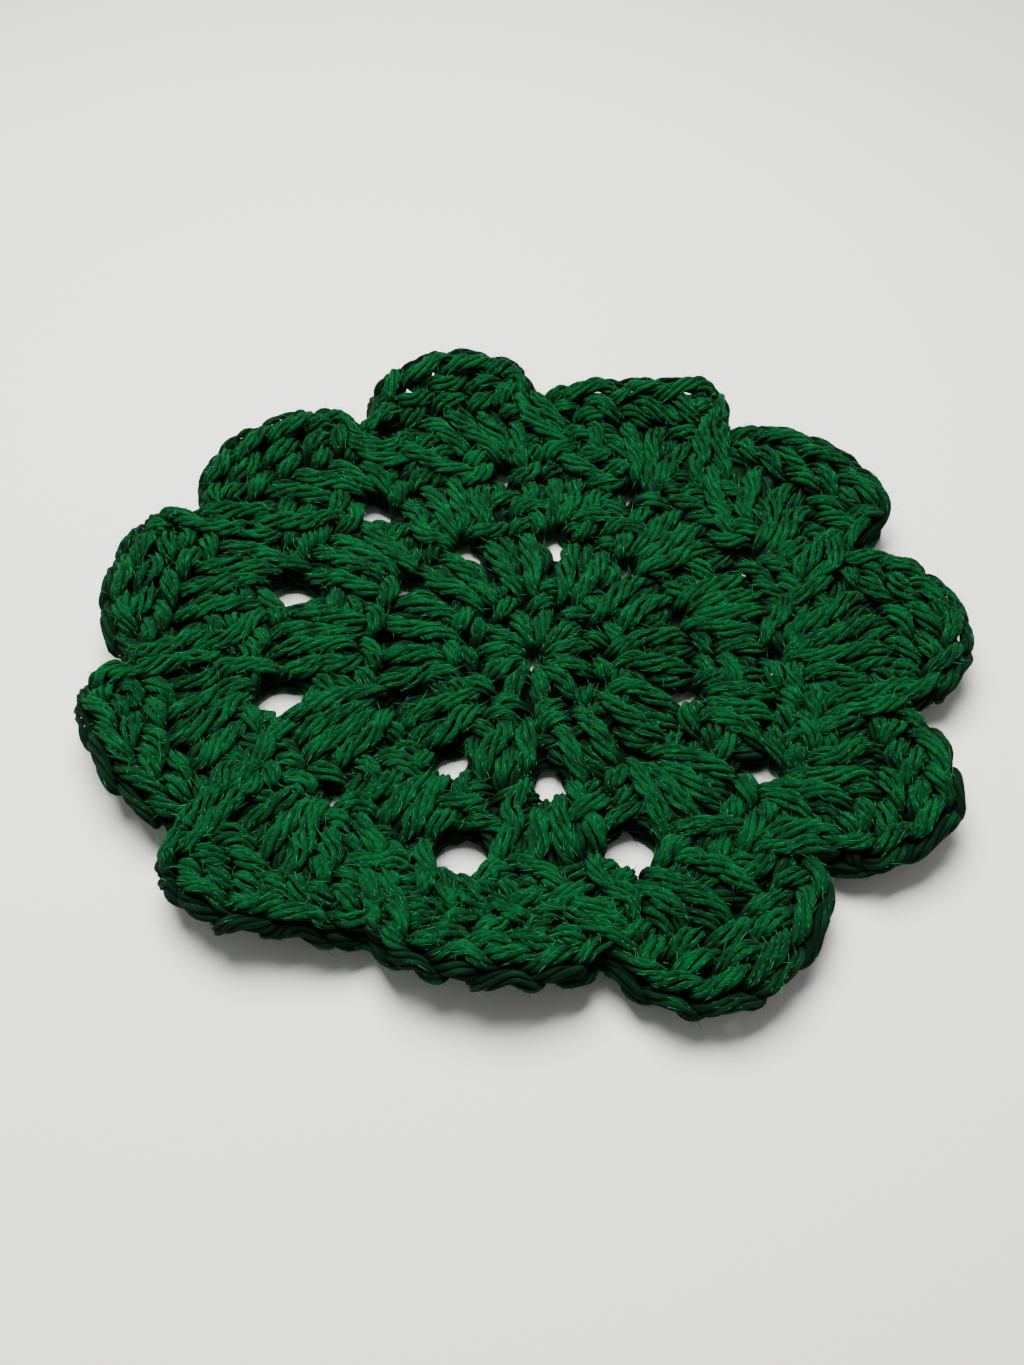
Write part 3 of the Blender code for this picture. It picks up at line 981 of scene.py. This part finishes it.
def fibre_mesh(name, points, ahead, upward, girth, draw):
    """One mesh of loose fibres that stand off the plies, each a thin closed spike."""
    count = len(points)
    out = unit(square_to(ahead, draw.normal(0, 1, (count, 3))))
    out *= np.where(out[:, 2] * upward < FIBRE_DOWN, -1.0, 1.0)[:, None]
    lying = draw.random(count) < LYING
    lean = np.where(lying, draw.uniform(*LYING_LEAN, count), draw.uniform(*STANDING_LEAN, count))
    lean = np.radians(lean)[:, None]
    way = np.where(draw.random(count) < 0.5, -1.0, 1.0)[:, None] * ahead
    direction = np.cos(lean) * way + np.sin(lean) * out
    length = np.minimum(draw.exponential(FIBRE_LENGTH, count) + FIBRE_SHORTEST, FIBRE_LONGEST)[:, None]
    foot = points + out * (PLY_RADIUS * girth * FIBRE_FOOT)[:, None]
    under = (foot + direction * length)[:, 2] < FLOOR_CLEARANCE
    direction[under, 2] = np.abs(direction[under, 2])
    side = unit(np.cross(direction, out))
    ring = FIBRE_RADIUS * rings(side, np.cross(direction, side), 3)
    tip = foot + direction * length
    corners = np.concatenate([foot[:, None] + ring, tip[:, None]], axis=1)
    first = np.arange(count)[:, None, None] * 4
    faces = first + np.array([[0, 2, 1], [0, 1, 3], [1, 2, 3], [2, 0, 3]])
    return mesh_of(name, corners.reshape(-1, 3), faces.ravel(), np.full(count * 4, 3))


def trimmed(plan):
    """The sheet's points, with those along an edge moved onto the edge's own curve."""
    plan = plan.copy()
    for gap in OPENINGS:
        centre, out, aside = axes_of(gap)
        half = np.array([gap.along, gap.across]) / 2 + SHEET_MARGIN
        q = np.stack([(plan - centre) @ out, (plan - centre) @ aside], axis=1) / half
        far = np.linalg.norm(q, axis=1)
        near = far < 1 + TRIM_REACH * SHEET_CELL / half.min()
        q = q[near] / np.maximum(far[near], LEAST_OUT)[:, None] * half
        plan[near] = centre + q[:, :1] * out + q[:, 1:] * aside
    far, reach, _ = rim_at(plan)
    reach -= SHEET_INWARD
    edge = far > reach - TRIM_REACH * SHEET_CELL
    plan[edge] *= (reach[edge] / far[edge])[:, None]
    return plan


def grid(numbers):
    """The points in plan at these numbers of cells each way."""
    return np.stack(np.meshgrid(numbers, numbers, indexing="ij"), axis=-1) * SHEET_CELL


def sheet_mesh(name):
    """(the closed sheet that the stitches stand on, in the middle of the cloth, its count of cells)."""
    half = SHEET_CELLS
    spots = grid(np.arange(-half, half) + 0.5).reshape(-1, 2)
    kept = inside_cloth(spots, SHEET_INWARD, SHEET_MARGIN).reshape(2 * half, 2 * half)
    blocks = kept[:-1, :-1], kept[1:, :-1], kept[:-1, 1:], kept[1:, 1:]
    for _ in range(SLANT_TURNS):
        a, b, c, d = blocks
        slanted = (a & d & ~b & ~c) | (b & c & ~a & ~d)
        for block in blocks:
            block |= slanted
    size = 2 * half + 1
    number = np.arange(size * size).reshape(size, size)
    a, b, c, d = number[:-1, :-1], number[1:, :-1], number[1:, 1:], number[:-1, 1:]
    below = size * size
    faces = [np.stack([a, b, c, d], axis=-1)[kept], np.stack([a, d, c, b], axis=-1)[kept] + below]
    padded = np.pad(kept, 1)
    for start, end, beside in (
        (a, b, padded[1:-1, :-2]),
        (b, c, padded[2:, 1:-1]),
        (c, d, padded[1:-1, 2:]),
        (d, a, padded[:-2, 1:-1]),
    ):
        open_side = kept & ~beside
        faces.append(np.stack([end, start, start + below, end + below], axis=-1)[open_side])
    faces = np.vstack(faces)
    used, faces = np.unique(faces, return_inverse=True)
    plan = trimmed(grid(np.arange(-half, half + 1)).reshape(-1, 2))
    levels = SHEET_LEVEL + SHEET_HALF, SHEET_LEVEL - SHEET_HALF
    points = np.vstack([np.column_stack([plan, np.full(len(plan), level)]) for level in levels])
    return mesh_of(name, bent(points[used]), faces.ravel(), np.full(faces.size // 4, 4)), kept.sum()


def linear(colour):
    """An sRGB hex colour as linear light."""
    values = [int(colour[place:place + 2], 16) / 255 for place in (1, 3, 5)]
    return tuple(v / 12.92 if v <= 0.04045 else ((v + 0.055) / 1.055) ** 2.4 for v in values) + (1.0,)


def set_inputs(tree, node, inputs):
    """Gives a node its inputs, each a value or another node's output."""
    for name, value in inputs.items():
        if isinstance(value, bpy.types.NodeSocket):
            tree.links.new(value, node.inputs[name])
        else:
            node.inputs[name].default_value = value


def add_node(tree, kind, settings=None, inputs=None):
    """A node with its settings and its inputs."""
    node = tree.nodes.new(kind)
    for name, value in (settings or {}).items():
        setattr(node, name, value)
    set_inputs(tree, node, inputs or {})
    return node


def new_material(name):
    """(material, its nodes, its shader)"""
    material = bpy.data.materials.new(name)
    material.use_nodes = True
    return material, material.node_tree, material.node_tree.nodes["Principled BSDF"]


def cotton():
    """Loosely plied cotton, spun soft and dyed green.

    Its fibres turn along each ply in fine streaks and ridges, its dye is uneven, and a painted shade darkens
    it the deeper it lies among the strands, where no light comes down. It has hardly any gloss, and fuzz
    gives it a weak pale sheen.
    """
    material, tree, shader = new_material("soft_spun_cotton")
    ply = add_node(tree, "ShaderNodeUVMap", {"uv_map": "ply"})
    parts = add_node(tree, "ShaderNodeSeparateXYZ", None, {0: ply.outputs[0]})
    turn = add_node(tree, "ShaderNodeMath", {"operation": "MULTIPLY"}, {
        0: parts.outputs["X"], 1: -2 * math.pi / FIBRE_PITCH})
    around = add_node(tree, "ShaderNodeMath", {"operation": "MULTIPLY_ADD"}, {
        0: parts.outputs["Y"], 1: 2 * math.pi, 2: turn.outputs[0]})
    cosine = add_node(tree, "ShaderNodeMath", {"operation": "COSINE"}, {0: around.outputs[0]})
    sine = add_node(tree, "ShaderNodeMath", {"operation": "SINE"}, {0: around.outputs[0]})
    along = add_node(tree, "ShaderNodeMath", {"operation": "MULTIPLY"}, {
        0: parts.outputs["X"], 1: STREAK_STRETCH})
    place = add_node(tree, "ShaderNodeCombineXYZ", None, {
        "X": along.outputs[0], "Y": cosine.outputs[0], "Z": sine.outputs[0]})
    streaks = add_node(tree, "ShaderNodeTexNoise", None, {
        "Vector": place.outputs[0], "Scale": STREAK_SCALE, "Detail": 3.0, "Roughness": 0.6})
    body = add_node(tree, "ShaderNodeTexCoord")
    patches = add_node(tree, "ShaderNodeTexNoise", None, {
        "Vector": body.outputs["Object"], "Scale": PATCH_SCALE, "Detail": 2.0})
    both = add_node(tree, "ShaderNodeMath", {"operation": "MULTIPLY"}, {
        0: streaks.outputs["Fac"], 1: patches.outputs["Fac"]})
    spread = add_node(tree, "ShaderNodeMapRange", None, {
        "Value": both.outputs[0], "From Min": 0.15, "From Max": 0.35})
    shade = add_node(tree, "ShaderNodeMix", {"data_type": "RGBA"}, {
        0: spread.outputs["Result"], 6: linear(DYE_DARK), 7: linear(DYE_LIGHT)})
    # painted shade: the deeper a point lies among the strands, the further its colour is mixed towards
    # near-black green
    depth = add_node(tree, "ShaderNodeAttribute", {"attribute_name": "depth"})
    painted_crevice_share = add_node(tree, "ShaderNodeMapRange", None, {
        "Value": depth.outputs["Fac"], "From Min": 0.15, "From Max": 1.3, "To Max": 0.92})
    dye_and_shade = add_node(tree, "ShaderNodeMix", {"data_type": "RGBA"}, {
        0: painted_crevice_share.outputs["Result"], 6: shade.outputs[2], 7: linear(PAINTED_CREVICE_SHADE)})
    ridges = add_node(tree, "ShaderNodeTexNoise", None, {
        "Vector": place.outputs[0], "Scale": BUMP_SCALE, "Detail": 3.0, "Roughness": 0.6})
    bump = add_node(tree, "ShaderNodeBump", None, {
        "Height": ridges.outputs["Fac"], "Strength": 1.0, "Distance": 0.0005})
    set_inputs(tree, shader, {
        "Base Color": dye_and_shade.outputs[2], "Normal": bump.outputs[0], "Roughness": 0.68,
        "Specular IOR Level": 0.035, "Sheen Weight": 0.05, "Sheen Roughness": 0.5,
        "Sheen Tint": linear(SHEEN_TINT)})
    return material


def loose_cotton():
    """Single cotton fibres that stand off the yarn, too thin for a pattern, paler than the plies partly from
    their dye and partly as a painted highlight where they catch the light.
    """
    material, tree, shader = new_material("loose_cotton_fibre")
    set_inputs(tree, shader, {
        "Base Color": linear(FIBRE_DYE_AND_HIGHLIGHT), "Roughness": 1.0, "Specular IOR Level": 0.1})
    return material


def deep_cotton():
    """The yarn in the middle of the cloth: a painted shade, nearly black, on its front, and strands at the
    back with painted shade between them.
    """
    material, tree, shader = new_material("cotton_deep_in_the_cloth")
    body = add_node(tree, "ShaderNodeTexCoord")
    plan = add_node(tree, "ShaderNodeMapping", None, {
        "Vector": body.outputs["Object"], "Location": (*(-RING_AT * MM), 0), "Scale": (1, 1, 0)})
    towards = add_node(tree, "ShaderNodeVectorMath", {"operation": "NORMALIZE"}, {0: plan.outputs[0]})
    around = add_node(tree, "ShaderNodeVectorMath", {"operation": "SCALE"}, {
        0: towards.outputs["Vector"], "Scale": STRANDS_AROUND / (2 * math.pi)})
    far = add_node(tree, "ShaderNodeVectorMath", {"operation": "LENGTH"}, {0: plan.outputs[0]})
    out = add_node(tree, "ShaderNodeMath", {"operation": "DIVIDE"}, {
        0: far.outputs["Value"], 1: STRAND_LENGTH * MM})
    rise = add_node(tree, "ShaderNodeCombineXYZ", None, {"Z": out.outputs[0]})
    place = add_node(tree, "ShaderNodeVectorMath", {"operation": "ADD"}, {
        0: around.outputs["Vector"], 1: rise.outputs[0]})
    strands = add_node(tree, "ShaderNodeTexNoise", None, {
        "Vector": place.outputs["Vector"], "Scale": 1.0, "Detail": 2.0, "Distortion": 0.6})
    light = add_node(tree, "ShaderNodeMapRange", None, {
        "Value": strands.outputs["Fac"], "From Min": 0.35, "From Max": 0.6})
    shade = add_node(tree, "ShaderNodeMix", {"data_type": "RGBA"}, {
        0: light.outputs["Result"], 6: linear(PAINTED_CREVICE_SHADE), 7: linear(DYE_LIGHT)})
    # painted shade: the up-facing front is near-black where it shows between the plies
    facing = add_node(tree, "ShaderNodeSeparateXYZ", None, {0: body.outputs["Normal"]})
    back = add_node(tree, "ShaderNodeMapRange", None, {
        "Value": facing.outputs["Z"], "From Min": 0.2, "From Max": -0.2})
    dye_and_shade = add_node(tree, "ShaderNodeMix", {"data_type": "RGBA"}, {
        0: back.outputs["Result"], 6: linear(PAINTED_SHEET_SHADE), 7: shade.outputs[2]})
    bump = add_node(tree, "ShaderNodeBump", None, {
        "Height": strands.outputs["Fac"], "Strength": 1.0, "Distance": PLY_RADIUS * MM})
    set_inputs(tree, shader, {
        "Base Color": dye_and_shade.outputs[2], "Normal": bump.outputs[0], "Roughness": 1.0,
        "Specular IOR Level": 0.1})
    return material


def floor_material():
    """Matte pale paint, plain so that the coaster stands out."""
    material, tree, shader = new_material("matte_pale_floor")
    set_inputs(tree, shader, {"Base Color": linear(FLOOR_COLOUR), "Roughness": 0.9})
    return material


def make_floor():
    """A plain floor, so wide that no edge of it shows from the camera."""
    bpy.ops.mesh.primitive_plane_add(size=FLOOR_SIDE)
    floor = bpy.context.object
    floor.name = "floor"
    floor.data.materials.append(floor_material())
    floor.select_set(False)


def make_camera():
    """The camera at the photo's angle: it looks down along +Y and is rolled a little."""
    camera = bpy.data.cameras.new("camera")
    camera.sensor_width = SENSOR
    camera.lens = FOCAL_PIXELS / FRAME_HEIGHT * SENSOR
    camera.clip_start = 0.01
    eye = bpy.data.objects.new("camera", camera)
    bpy.context.scene.collection.objects.link(eye)
    pitch, roll = math.radians(PITCH), math.radians(ROLL)
    ahead = Vector((0, math.cos(pitch), -math.sin(pitch)))
    right = Vector((1, 0, 0))
    up = right.cross(ahead)
    turned_right = math.cos(roll) * right + math.sin(roll) * up
    turned_up = -math.sin(roll) * right + math.cos(roll) * up
    turn = Matrix((turned_right, turned_up, -ahead)).transposed().to_4x4()
    eye.matrix_world = Matrix.Translation(Vector(EYE) * MM) @ turn
    bpy.context.scene.camera = eye


def make_light():
    """Soft light from all round, and a window behind the coaster and to its left."""
    world = bpy.data.worlds.new("studio")
    world.use_nodes = True
    set_inputs(world.node_tree, world.node_tree.nodes["Background"], {
        "Color": (1, 1, 1, 1), "Strength": STUDIO_LIGHT})
    bpy.context.scene.world = world
    light = bpy.data.lights.new("window", "AREA")
    light.size = WINDOW_SIZE
    light.energy = WINDOW_POWER
    lamp = bpy.data.objects.new("window", light)
    bpy.context.scene.collection.objects.link(lamp)
    lamp.location = WINDOW_AT
    lamp.rotation_euler = (Vector((0, 0, 0)) - lamp.location).to_track_quat("-Z", "Y").to_euler()


def add_piece(name, mesh, material):
    """A piece of the coaster with its mesh and material, on the coaster's one body."""
    mesh.materials.append(material)
    piece = bpy.data.objects.new(name, mesh)
    bpy.context.scene.collection.objects.link(piece)
    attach(piece, "root")
    return piece


def runs_by_piece(plies, points, seen, depth, face):
    """The stretches of plies that show, under the name of the piece that each is part of."""
    runs = {}
    for strand in range(plies.strand[-1] + 1):
        mine = np.flatnonzero(plies.strand == strand)
        for run in shown_runs(mine, seen[mine]):
            line = smoothed(points[run])
            cuts = np.flatnonzero(plies.piece[run][1:] != plies.piece[run][:-1]) + 1
            for start, end in zip([0, *cuts], [*cuts, len(run)]):
                stretch = slice(start, min(end + 1, len(run)))
                if len(run[stretch]) > 2:
                    part = run[stretch]
                    values = plies.swell[part], depth[part], face[part], PLY_SHIFT * strand
                    runs.setdefault(plies.piece[run[start]], []).append((line[stretch], *values))
    return runs


def add_plies(plies, points, seen, depth, face):
    """A piece for each round and each petal, of the plies that show."""
    look = cotton()
    runs = runs_by_piece(plies, points, seen, depth, face)
    return [add_piece(name, ply_mesh(name, runs[name]), look) for name in sorted(runs)]


def add_fibres(plies, points, bare, draw):
    """Loose fibres, on plies that lie bare."""
    ends = np.flatnonzero(bare[1:-1] & (plies.strand[:-2] == plies.strand[2:])) + 1
    chosen = draw.choice(ends, FIBRES, replace=False)
    ahead = unit(points[chosen + 1] - points[chosen - 1])
    upward = np.sign(plies.points[chosen, 2])
    mesh = fibre_mesh("loose_fibres", points[chosen], ahead, upward, plies.swell[chosen], draw)
    return add_piece("loose_fibres", mesh, loose_cotton())


def add_sheet():
    """The sheet in the middle of the cloth, which stands for the coaster with what is made on it."""
    mesh, cells = sheet_mesh("inner_cloth")
    # its front is coloured as painted shade, near-black, where it shows between the plies
    sheet = add_piece("inner_cloth", mesh, deep_cotton())
    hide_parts("coaster")


def main():
    """Dresses the coaster, and sets the floor, the camera and the light round it."""
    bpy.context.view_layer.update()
    bpy.ops.object.select_all(action="DESELECT")
    draw = np.random.default_rng(SEED)
    yarn = yarn_of((round_one(), round_two(), round_three(), petal_round()), draw)
    yarn = settle(yarn, YARN_WIDTH, YARN_HEIGHT, YARN_SKIP, YARN_TURNS)
    plies = settle(plied(yarn, draw), PLY_GIRTH, PLY_GIRTH, PLY_SKIP, PLY_TURNS)
    seen, depth, face = showing(plies.points)
    points = bent(plies.points)
    made = add_plies(plies, points, seen, depth, face)
    made.append(add_fibres(plies, points, seen & (depth < FIBRE_DEPTH), draw))
    add_sheet()
    make_floor()
    make_camera()
    make_light()


main()
